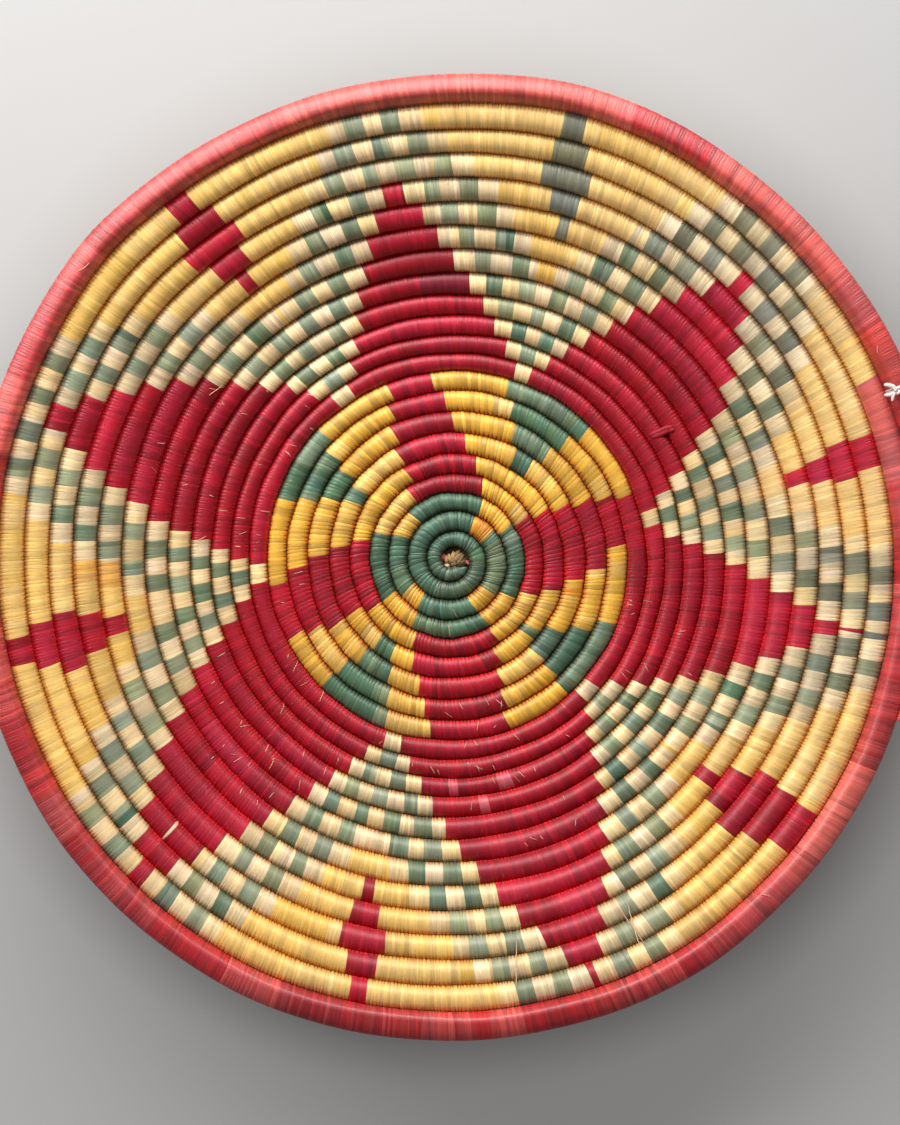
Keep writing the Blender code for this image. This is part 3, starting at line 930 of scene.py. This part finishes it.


# %% [markdown]
# ## The finish of a dyed strand
# A strand is a split leaf. Fine straight fibres run its whole length, the dye took on some and not on
# others, and the skin has a satin gloss. The grain is a noise stretched along the strand, and it sets the
# colour, the roughness and a very low relief together, because they have one cause. The grooves get
# painted shade on top of their own shadow, most of all on the flanks. Down between two rows the dye gives
# way to its painted valley shade, which is shade and dyed bounce light painted into the colour, and the
# gloss turns dull. A small metallic value tints the rows' gloss by their dye. Here and there a bare fibre
# shows, pale on the dye.

# %% Material of the strands
GRAIN_SCALE, GRAIN_RANGE = (4200.0, 90.0, 1.0), (0.3, 0.7)
BLOTCH_SCALE = (260.0, 150.0, 1.0)
FIBRE_SCALE = (1900.0, 160.0, 1.0)
SIDE_SHIFT = 0.12
FLANK = (0.58, 0.97)
VALLEY = (0.62, 0.98)
GROOVE = (0.76, 1.08)
FLANK_WIDENS = 0.26
GROOVE_SHADE = (0.17, 0.74)
GRAIN_TONES, BLOTCH_TONES = (0.80, 1.16), (0.90, 1.08)
BARE_SHARE = 0.55


def strand_material(name, roughness, level, gleam, inner_only, dulling, bare_fibre, bare_from):
    """The satin finish of split leaf. Side says how near a point is to the next row: on a row, how far
    the cosine of its angle round the section is from 0.12; on the rim, minus the cosine. Flank, groove
    and valley rise with it from 0 to 1."""
    finish = Finish(name)
    maths, ranged = finish.maths, finish.ranged
    lay = finish.node("UVMap", uv_map="lay")
    across = finish.node("SeparateXYZ", {0: finish.node("UVMap", uv_map="strand")})
    round_by = across.node.outputs[1]
    grain = finish.streaks(lay, GRAIN_SCALE, 4.0)
    blotch = finish.streaks(lay, BLOTCH_SCALE, 3.0)
    fibre = finish.streaks(lay, FIBRE_SCALE, 2.0)

    from_middle = maths("ABSOLUTE", maths("SUBTRACT", maths("MULTIPLY", across, 2.0), 1.0))
    side = maths("COSINE", maths("MULTIPLY", round_by, 2.0 * math.pi))
    if inner_only:
        side = maths("MULTIPLY", side, -1.0)
    else:
        side = maths("ABSOLUTE", maths("SUBTRACT", side, SIDE_SHIFT))
    flank = ranged(side, *FLANK)
    valley = ranged(side, *VALLEY)
    groove = ranged(maths("ADD", from_middle, maths("MULTIPLY", flank, FLANK_WIDENS)), *GROOVE)
    # Painted shade in the grooves: depth is how far the colour is darkened there, more on the flanks.
    depth = maths("MULTIPLY", groove, ranged(flank, 0.0, 1.0, *GROOVE_SHADE))

    streaks = ranged(grain, *GRAIN_RANGE, *GRAIN_TONES)
    patches = ranged(blotch, *GRAIN_RANGE, *BLOTCH_TONES)
    tone = maths("MULTIPLY", maths("MULTIPLY", streaks, patches), maths("SUBTRACT", 1.0, depth))
    dye, painted_valley_shade = (finish.node("Attribute", output="Color", attribute_name=kind) for kind in ("dye", "painted_valley_shade"))
    # Down in the valley the colour gives way to the painted valley shade.
    base = finish.mixed("MULTIPLY", 1.0, finish.mixed("MIX", valley, dye, painted_valley_shade), finish.grey(tone))
    bare = ranged(fibre, bare_from, bare_from + 0.08, 0.0, BARE_SHARE)
    satin = ranged(grain, *GRAIN_RANGE, roughness + 0.08, roughness - 0.06)
    finish.set(finish.shader, {
        "Base Color": finish.mixed("MIX", bare, base, (*daylight(bare_fibre), 1.0)),
        "Roughness": maths("MAXIMUM", satin, maths("MULTIPLY", valley, dulling)),
        "Normal": finish.relief(grain, 0.5, 0.00006),
        "Specular IOR Level": level,
        "Metallic": gleam,
    })
    return finish.paint


row_paint = strand_material("dyed_leaf_strand", roughness=0.46, level=0.62, gleam=0.12, inner_only=False,
                            dulling=1.0, bare_fibre=(226, 176, 120), bare_from=0.70)
rim_paint = strand_material("red_rim_strand", roughness=0.48, level=1.0, gleam=0.0, inner_only=True,
                            dulling=0.6, bare_fibre=(236, 170, 130), bare_from=0.80)
print(f"{len(row_paint.node_tree.nodes)} nodes in the finish of the rows")

# %% [markdown]
# ## The rows
# Twenty-one decorated rows and the rim are laid end to end, each its own piece. For each row a slot name
# is worked out from the dye that fills most of it.

# %% Make the rows
ROW_SEED, RIM_SEED = 100, 99
ROW_SLOTS = {GREEN: "green_strands", CRIMSON: "crimson_strands"}


def add_piece(name, mesh, paint, slot, *nodes):
    """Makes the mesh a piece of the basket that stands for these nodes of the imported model."""
    mesh.materials.append(paint)
    piece = add_object(name, mesh)
    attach(piece, "root")
    if nodes:
        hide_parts(*nodes)


strands_laid = 0
for turn in range(1, DECORATED_TURNS + 1):
    row = DECORATED_TURNS + 1 - turn
    name = f"row_{turn:02d}_strands"
    rng = np.random.default_rng(ROW_SEED + turn)
    mesh, count = strand_sleeve(name, row, max(COIL_START, turn - 1.0), float(turn), rng)
    slot = ROW_SLOTS.get(dye_degrees(row).argmax(), "straw_strands")
    add_piece(name, mesh, row_paint, slot, f"row_{turn:02d}_wrapping")
    strands_laid += count

rim_mesh, count = strand_sleeve("rim_strands", 0, RIM_START, COIL_END, np.random.default_rng(RIM_SEED))
add_piece("rim_strands", rim_mesh, rim_paint, "rim_strands", "rim_wrapping")
print(f"{strands_laid} strands on the rows and {count} on the rim")

# %% [markdown]
# ## The bundle inside
# The foundation is a loose rope of grass or leaf ribs, one unbroken spiral from the middle to the rim's
# end. It hardly shows, but it is what the strands are tight round, so it is here, as a tube on the same
# path.

# %% Foundation bundle
BUNDLE_PLAY = 0.00035
BUNDLE_SIDES = 10
BUNDLE_END = COIL_END - 0.015


def grass_material(name, dark, pale, scale, roughness, relief):
    """Dry grass: two tones mixed by a fine noise on object coordinates, with a low relief."""
    finish = Finish(name)
    noise = finish.object_noise(scale, 4.0)
    tones = [(*daylight(colour), 1.0) for colour in (dark, pale)]
    finish.set(finish.shader, {
        "Base Color": finish.mixed("MIX", finish.ranged(noise, 0.35, 0.65), *tones),
        "Normal": finish.relief(noise, 0.6, relief),
        "Roughness": roughness,
    })
    return finish.paint


def tubes_from(name, rings):
    """A mesh of closed tubes from rings of points, an array of tubes by rings by sides by three."""
    tubes, count, sides, _ = rings.shape
    first = np.arange(tubes)[:, None] * count * sides
    side = np.arange(sides)
    quads = (ring_quads(count, sides)[None] + first[..., None]).reshape(-1, 4)
    ends = first + side[::-1], first + (count - 1) * sides + side
    return mesh_from(name, rings.reshape(-1, 3), quads, *ends)


bundle_rings = int((BUNDLE_END - COIL_START) * RINGS_PER_TURN)
bundle_tau = np.linspace(COIL_START, BUNDLE_END, bundle_rings)
bundle_points = surface(bundle_tau[:, None], circle(BUNDLE_SIDES), 0.0, WALL + BUNDLE_PLAY)
bundle_paint = grass_material("foundation_grass", (120, 84, 48), (186, 146, 92), 900.0, 0.8, 0.0002)
bundle_mesh = tubes_from("foundation_coil", bundle_points[None])
add_piece("foundation_coil", bundle_mesh, bundle_paint, "foundation_fibre", "foundation_bundle")
print(f"bundle of {bundle_rings} rings")

# %% [markdown]
# ## Threads and loose fibres
# What is left is thin: fibre tips in the middle, white thread on the rim, a stitch that bridges two rows
# and the split ends of old strands. Each is a tube along a short route of points, round or flat, drawn in
# at both tips. One function makes a whole group of them as one mesh.

# %% Thin tubes
THIN_SIDES = 8
THIN_POINTS = 13
TIP_SHARE = 0.01
UP = np.array([0.0, 0.0, 1.0])


def thin_tubes(name, routes, facing, widths, thicknesses, colours, point):
    """Tubes along routes, an array of routes by points by three, with their flat side to facing. The
    section swells from either tip as four x times one less x, to the power point."""
    along = np.gradient(routes, axis=1)
    along /= np.linalg.norm(along, axis=-1, keepdims=True)
    sideways = np.cross(facing, along)
    sideways /= np.linalg.norm(sideways, axis=-1, keepdims=True)
    up = np.cross(along, sideways)
    x = np.linspace(TIP_SHARE, 1.0 - TIP_SHARE, routes.shape[1])
    full = ((4.0 * x * (1.0 - x)) ** point)[None, :, None]
    angle = circle(THIN_SIDES)
    wide = widths[:, None, None] / 2.0 * full * np.cos(angle)
    thick = thicknesses[:, None, None] / 2.0 * full * np.sin(angle)
    rings = routes[:, :, None] + sideways[:, :, None] * wide[..., None] + up[:, :, None] * thick[..., None]
    mesh = tubes_from(name, rings)
    quads = (routes.shape[1] - 1) * THIN_SIDES
    corners = np.repeat([4, THIN_SIDES], [quads * len(routes), 2 * len(routes)])
    shades = np.concatenate([np.repeat(colours, quads, axis=0), colours, colours])
    add_colours(mesh, "dye", shades, corners)
    return mesh


def fibre_material(name, scale, roughness):
    """A finish for thin pieces: their own colour, broken up by a fine noise on object coordinates."""
    finish = Finish(name)
    shade = finish.grey(finish.ranged(finish.object_noise(scale, 3.0), *GRAIN_RANGE, 0.72, 1.12))
    dye = finish.node("Attribute", output="Color", attribute_name="dye")
    base = finish.mixed("MULTIPLY", 1.0, dye, shade)
    finish.set(finish.shader, {"Base Color": base, "Roughness": roughness})
    return finish.paint


# %% [markdown]
# The coil starts with a pinch of fibre bent over and caught by the first stitches. Its tips fan out over
# a core in the hole in the middle, painted dark as the shade down in that hole, with three ends of dyed
# strand beside them: red on the left, cream below it and a small pink one on the right. Tips that end up
# and to the left, towards the key lamp, are painted lighter, the others darker.

# %% Fibre tips in the middle
CENTRE_SEED = 7
TIPS = 30
TIP_WIDTH = 0.0014
HOLE_MIDDLE = np.array([0.0014, 0.0008, 0.0022])
HOLE_HALF = np.array([0.0046, 0.0036, 0.0019])
FAN_ROOT = np.array([-0.10, -0.55])
FAN_HEADINGS_DEG = (-40.0, 90.0)
CORE_THICKNESS = 0.0022
DYED_TIP_THICKNESS = 0.0007
DYED_TIPS = (
    ((-1.02, -0.28), (-1.00, 0.56), 0.0026, (196, 76, 80)),
    ((-0.92, -0.62), (-0.48, -0.88), 0.0022, (238, 190, 150)),
    ((0.78, -0.52), (1.00, -0.30), 0.0020, (200, 96, 104)),
)

rng = np.random.default_rng(CENTRE_SEED)
run = np.linspace(0.0, 1.0, THIN_POINTS)[None, :, None]
hole_middle = HOLE_MIDDLE - np.append(spiral_shift, 0.0)


def over_core(start, end, lift):
    """Routes over the core between places given in the hole's half sizes, higher in the middle by
    lift."""
    flat = start[:, None] * (1.0 - run) + end[:, None] * run
    dome = np.sqrt(np.clip(1.0 - 0.7 * np.sum(flat ** 2, axis=-1, keepdims=True), 0.0, 1.0))
    height = dome - 0.35 + lift * np.sin(np.pi * run)
    return hole_middle + HOLE_HALF * np.concatenate([flat, height], axis=-1)


heading = np.radians(rng.uniform(*FAN_HEADINGS_DEG, TIPS))
length = rng.uniform(0.7, 1.5, TIPS)
fan_start = FAN_ROOT + 0.28 * rng.standard_normal((TIPS, 2))
fan_end = fan_start + length[:, None] * np.stack([np.sin(heading), np.cos(heading)], axis=-1)
reach = rng.uniform(0.55, 0.92, (TIPS, 1))
fan_end *= np.minimum(1.0, reach / np.linalg.norm(fan_end, axis=-1, keepdims=True))
# Painted light: tips ending up and to the left, towards the key lamp, are lighter, the others darker.
painted_lamp_side_light = np.clip(0.8 + 0.5 * (fan_end[:, 1:] - fan_end[:, :1]), 0.3, 1.3)
olive = daylight((156, 124, 76)) * painted_lamp_side_light * rng.uniform(0.8, 1.2, (TIPS, 1))
fan = over_core(fan_start, fan_end, rng.uniform(-0.1, 0.45, (TIPS, 1, 1)))
dyed_start, dyed_end, dyed_width, dyed_colour = (np.array(part) for part in zip(*DYED_TIPS))
dyed = over_core(dyed_start, dyed_end, 0.40)
# The core under the tips is painted dark as the shade down in the hole.
core_run = np.concatenate([2.2 * run - 1.1, 0.0 * run, 0.0 * run - 0.3], axis=-1)
centre_mesh = thin_tubes(
    "centre_fibres",
    routes=np.concatenate([hole_middle + HOLE_HALF * core_run, fan, dyed]),
    facing=UP,
    widths=np.concatenate([[2.3 * HOLE_HALF[1]], np.full(TIPS, TIP_WIDTH), dyed_width]),
    thicknesses=np.repeat([CORE_THICKNESS, 0.5 * TIP_WIDTH, DYED_TIP_THICKNESS], [1, TIPS, len(dyed)]),
    colours=np.concatenate([[daylight((84, 66, 40))], olive, daylight(dyed_colour)]),
    point=0.5,
)
fibre_paint = fibre_material("dry_fibre", 2600.0, 0.7)
add_piece("centre_fibres", centre_mesh, fibre_paint, "start_fibre", "centre_start_knot")
print(f"{TIPS} fibre tips and {len(dyed)} dyed ends in the middle")

# %% [markdown]
# The rim's end is lashed with white thread. Four turns lie side by side close round the rim, a small
# overhand knot sits on top, and three short tails lie over the rim. The knot is a trefoil: a closed curve
# whose radius and height swing three times while it goes round twice.

# %% White thread on the rim
TIE_TURN = RIM_END + 2.4 / 360.0
TIE_WRAPS = 4
TIE_WIDTH = 0.0024
TIE_GAP = 0.0003
TIE_KNOT_RADIUS = 0.0017
TIE_KNOT_ACROSS = 0.0016
TIE_ROUND_DEG = 150.0
THREAD = TIE_WIDTH / TIE_WRAPS
TAIL_LENGTHS = np.array([0.0050, 0.0048, 0.0042])
TAIL_HEADINGS = np.radians([292.0, 250.0, 205.0])
TAIL_BENDS = np.array([0.10, -0.14, 0.12])
TAIL_HUMP = 0.0004
THREAD_WIDTHS = np.array([THREAD * 1.05] * TIE_WRAPS + [0.0010, 0.0016, 0.0014, 0.0012])
THREAD_THICKNESSES = np.array([THREAD] * TIE_WRAPS + [0.0009, 0.0008, 0.0008, 0.0008])
TIE_POINTS = 33

tie_middle, _, tie_half_thick, _ = section(np.array(TIE_TURN))
tie_round = 2.0 * np.pi * wall_point(tie_middle)[0]
wrap_turn = (np.arange(TIE_WRAPS) - (TIE_WRAPS - 1) / 2.0) * THREAD / tie_round
wrap_angle = np.radians(np.linspace(TIE_ROUND_DEG, -TIE_ROUND_DEG, TIE_POINTS))
wraps = surface(TIE_TURN + wrap_turn[:, None], wrap_angle, 0.0, -THREAD / 2.0)
wrap_facing = wraps - place(np.array(TIE_TURN), 0.0, 0.0)

knot_at = place(np.array(TIE_TURN), TIE_KNOT_ACROSS, tie_half_thick + TIE_GAP + 0.55 * TIE_KNOT_RADIUS)
swing = np.linspace(0.0, 2.0 * np.pi, TIE_POINTS)
trefoil = [
    np.sin(swing) + 2.0 * np.sin(2.0 * swing),
    np.cos(swing) - 2.0 * np.cos(2.0 * swing),
    -1.3 * np.sin(3.0 * swing),
]
knot = knot_at + 0.24 * TIE_KNOT_RADIUS * np.stack(trefoil, axis=-1)
tail_run = np.linspace(0.0, 1.0, TIE_POINTS)[None, :, None]
ahead = np.stack([np.sin(TAIL_HEADINGS), np.cos(TAIL_HEADINGS), np.zeros(3)], axis=-1)[:, None]
bend = np.cross(ahead, UP) * TAIL_BENDS[:, None, None]
tails = knot_at + TAIL_LENGTHS[:, None, None] * (ahead * tail_run + bend * np.sin(np.pi * tail_run))
tails = tails + UP * TAIL_HUMP * tail_run * (1.0 - tail_run)
threads = np.concatenate([wraps, knot[None], tails])
facing = np.concatenate([wrap_facing, np.broadcast_to(UP, (len(threads) - TIE_WRAPS, TIE_POINTS, 3))])
white = daylight((240, 226, 218)) * np.linspace(0.93, 1.0, len(threads))[:, None]
thread_mesh = thin_tubes("tie_thread", threads, facing, THREAD_WIDTHS, THREAD_THICKNESSES, white, 0.35)
thread_paint = fibre_material("white_thread", 1800.0, 0.8)
add_piece("tie_thread", thread_mesh, thread_paint, "white_thread", "rim_tie")
print(f"{TIE_WRAPS} turns of thread, a knot and {len(tails)} tails")

# %% [markdown]
# Two red strands cross from row 10 to row 9, where a mend or a new strand was caught in. And over the
# years some strands have split: pale slivers stand a little off the rows, most of them on the crimson,
# and three long ones lie across the outer rows.

# %% Bridging stitch and split ends
LOOSE_SEED = 21
BRIDGE_DEG = (57.3, 58.0)
BRIDGE_LEAN_DEG = 1.2
BRIDGE_ROW = 10
SLIVERS = (
    (7, 306.0, 0.0060, 20.0), (12, 224.0, 0.0050, 70.0), (12, 236.0, 0.0045, 60.0),
    (8, 221.6, 0.0040, 75.0), (10, 229.0, 0.0050, 65.0), (0, 309.0, 0.0060, 30.0),
    (0, 340.7, 0.0050, 80.0), (0, 136.5, 0.0045, 60.0), (0, 63.0, 0.0030, 35.0),
    (18, 182.0, 0.0045, 80.0), (19, 176.0, 0.0040, 70.0),
)
LONG_SLIVERS = np.array([(153.0, 153.5, 154.2), (153.9, 153.4, 152.6), (171.4, 170.9, 170.2)])
LONG_SLIVER_ROWS = np.array([1, 2, 3])
LOOSE_BITS = 90
LOOSE_ROWS, LOOSE_REACH_DEG = (6, 15), (100.0, 335.0)
BIT_LENGTHS, BIT_TILT_DEG = (0.0012, 0.0040), (80.0, 22.0)
SLIVER_LIFT, LONG_LIFT, BRIDGE_LIFT = 0.00012, 0.0003, 0.0002
SLIVER_WIDTHS, LONG_WIDTH, BRIDGE_WIDTH = (0.00014, 0.00030), 0.0003, 0.0018
FLATNESS = 0.45


def turn_of(row, theta):
    """The turn of a place on a row, from the row's number and the angle."""
    return DECORATED_TURNS - row + np.mod(theta - SEAM_DEG, 360.0) / 360.0


def over_row(row, theta, length, heading_deg, angle, lift):
    """Routes on the skin of rows, from one place each, some way along the row and some way over it."""
    turn = turn_of(row, theta)
    middle, half, _, _ = section(turn)
    heading = np.radians(heading_deg)
    way = (run[..., 0] - 0.5) * length[:, None]
    tau = turn[:, None] + way * np.cos(heading)[:, None] / (2.0 * np.pi * wall_point(middle)[0])[:, None]
    round_by = np.pi / 2.0 + angle[:, None] + way * np.sin(heading)[:, None] / half[:, None]
    return surface(tau, round_by, 0.0, -lift * (0.3 + np.sin(np.pi * run[..., 0])))


def through(corners):
    """Routes of the usual number of points through a few corners each, evenly shared out."""
    marks = np.linspace(0.0, 1.0, corners.shape[1])
    routes = [[np.interp(run[0, :, 0], marks, points[:, axis]) for axis in range(3)] for points in corners]
    return np.array(routes).transpose(0, 2, 1)


rng = np.random.default_rng(LOOSE_SEED)
bit_row = rng.integers(*LOOSE_ROWS, LOOSE_BITS * 4)
bit_deg = rng.uniform(*LOOSE_REACH_DEG, LOOSE_BITS * 4)
on_red = [row_dyes(row, np.array([theta]))[0] == CRIMSON for row, theta in zip(bit_row, bit_deg)]
bit_row, bit_deg = bit_row[on_red][:LOOSE_BITS], bit_deg[on_red][:LOOSE_BITS]
bits = len(bit_row)
bit_length = rng.uniform(*BIT_LENGTHS, bits)
bit_tilt = rng.normal(*BIT_TILT_DEG, bits)
drawn = np.stack([bit_row, bit_deg, bit_length, bit_tilt], axis=-1)
row, theta, length, tilt = np.concatenate([SLIVERS, drawn]).T
slivers = over_row(row, theta, length, tilt, rng.uniform(-0.5, 0.5, len(row)), SLIVER_LIFT)

crest = np.array(np.pi / 2.0)
crests = surface(turn_of(LONG_SLIVER_ROWS, LONG_SLIVERS), crest, 0.0, -LONG_LIFT)
bridge_turn = turn_of(BRIDGE_ROW, np.array(BRIDGE_DEG))[:, None]
bridge_turn = bridge_turn + BRIDGE_LEAN_DEG / 360.0 * np.linspace(0.0, 1.0, 8)
near_side = surface(bridge_turn[:, :4], np.radians([[114.0, 96.0, 78.0, 60.0]]), 0.0, -BRIDGE_LIFT)
far_side = surface(bridge_turn[:, 4:] + 1.0, np.radians([[126.0, 112.0, 99.0, 86.0]]), 0.0, -BRIDGE_LIFT)
bridge = through(np.concatenate([near_side, far_side], axis=1))
thin = np.concatenate([
    rng.uniform(*SLIVER_WIDTHS, len(slivers)),
    np.repeat([LONG_WIDTH, BRIDGE_WIDTH], [len(crests), len(bridge)]),
])
pale = daylight((232, 186, 150)) * rng.uniform(0.7, 1.1, (len(slivers) + len(crests), 1))
red = np.tile(daylight((164, 16, 38)), (len(bridge), 1))
loose_mesh = thin_tubes(
    "loose_fibres",
    routes=np.concatenate([slivers, through(crests), bridge]),
    facing=UP,
    widths=thin,
    thicknesses=thin * FLATNESS,
    colours=np.concatenate([pale, red]),
    point=0.4,
)
add_piece("loose_fibres", loose_mesh, fibre_paint, "straw_strands")
print(f"{len(pale)} split ends and {len(bridge)} bridging strands")
